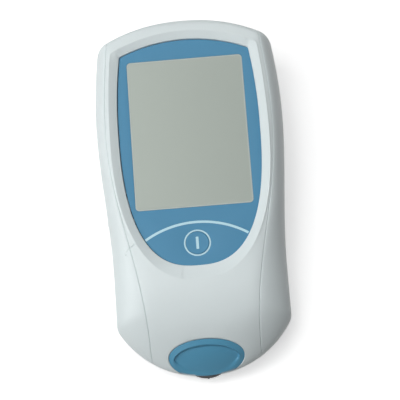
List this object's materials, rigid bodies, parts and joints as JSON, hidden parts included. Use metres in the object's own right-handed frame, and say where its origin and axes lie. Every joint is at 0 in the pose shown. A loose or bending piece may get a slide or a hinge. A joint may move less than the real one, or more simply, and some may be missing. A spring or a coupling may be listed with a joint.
{
  "type": "blood coagulation meter",
  "caption": "Hand-held blood coagulation meter with display panel, push button, strip guide under a lift-off cover, battery bay, code chip slot and infrared window.",
  "frame": {"origin": "on the resting surface under the middle of the case, which lies on its back on four rubber feet", "axes": "+Z out of the display side, +Y towards the infrared window, -Y towards the strip guide, +X to the user's right"},
  "size_m": [0.0968, 0.1851, 0.0431],
  "materials": {
    "housing": "cool white moulded plastic, fine satin texture",
    "blue_panel": "steel blue satin panel",
    "blue_cover": "blue gloss plastic",
    "display_glass": "matt touch glass over a grey display",
    "lcd_glass": "grey liquid crystal cell",
    "black_foam": "matt foam",
    "light_guide": "clear white acrylic",
    "white_frame": "moulded frame",
    "flex": "amber polyimide film",
    "ivory_connector": "moulded connector",
    "black_plastic": "black moulded plastic",
    "board": "green circuit board",
    "dark_red_window": "dark red infrared plastic",
    "ceramic": "white ceramic",
    "gold_contact": "gold plated contact",
    "chip_plastic": "pale grey moulded plastic",
    "grey_rubber": "matt grey rubber",
    "battery_sleeve": "printed steel can",
    "spring_steel": "nickel plated sheet",
    "screw_steel": "zinc plated"
  },
  "bodies": {
    "housing": {"top_cover": "housing", "bottom_cover": "housing", "display_panel": "blue_panel", "touch_screen": "display_glass", "display_gasket": "black_foam", "lcd_cell": "lcd_glass", "light_guide": "light_guide", "lcd_frame": "white_frame", "lcd_flex": "flex", "sensor_flex": "flex", "flex_socket": "ivory_connector", "power_switch": "black_plastic", "reset_switch": "black_plastic", "main_board": "board", "measuring_board": "board", "board_chips": "black_plastic", "buzzer": "black_plastic", "infrared_window": "dark_red_window", "infrared_transceiver": "dark_red_window", "power_socket": "black_plastic", "strip_guide": "black_plastic", "heater_plate": "ceramic", "strip_contacts": "black_plastic", "charging_terminals": "gold_contact", "code_chip_socket": "black_plastic", "battery_1": "battery_sleeve", "battery_2": "battery_sleeve", "battery_3": "battery_sleeve", "battery_4": "battery_sleeve", "nose_contacts": "spring_steel", "end_contacts": "spring_steel", "case_screws": "screw_steel", "board_screws": "screw_steel", "rubber_feet": "grey_rubber"},
    "power_key": {"power_button": "blue_panel", "switch_plunger": "black_plastic"},
    "reset_key": {"reset_button": "grey_rubber"},
    "strip_cover": {"strip_guide_cover": "blue_cover"},
    "battery_lid": {"battery_door": "housing"},
    "chip": {"code_chip": "chip_plastic"}
  },
  "joints": [
    {"name": "power_button_press", "type": "slide", "parent": "housing", "child": "power_key", "axis": [0, 0.0698, -0.9976], "range_m": [0, 0.0008], "stiffness_N_per_m": 400},
    {"name": "reset_button_press", "type": "slide", "parent": "housing", "child": "reset_key", "axis": [0, 0, 1], "range_m": [0, 0.0006], "stiffness_N_per_m": 400},
    {"name": "strip_cover_lift", "type": "slide", "parent": "housing", "child": "strip_cover", "axis": [0, 0, 1], "range_m": [0, 0.03]},
    {"name": "battery_door_lift", "type": "slide", "parent": "housing", "child": "battery_lid", "axis": [0, 0, -1], "range_m": [0, 0.03]},
    {"name": "code_chip_slide", "type": "slide", "parent": "housing", "child": "chip", "axis": [-1, 0, 0], "range_m": [0, 0.022]}
  ]
}
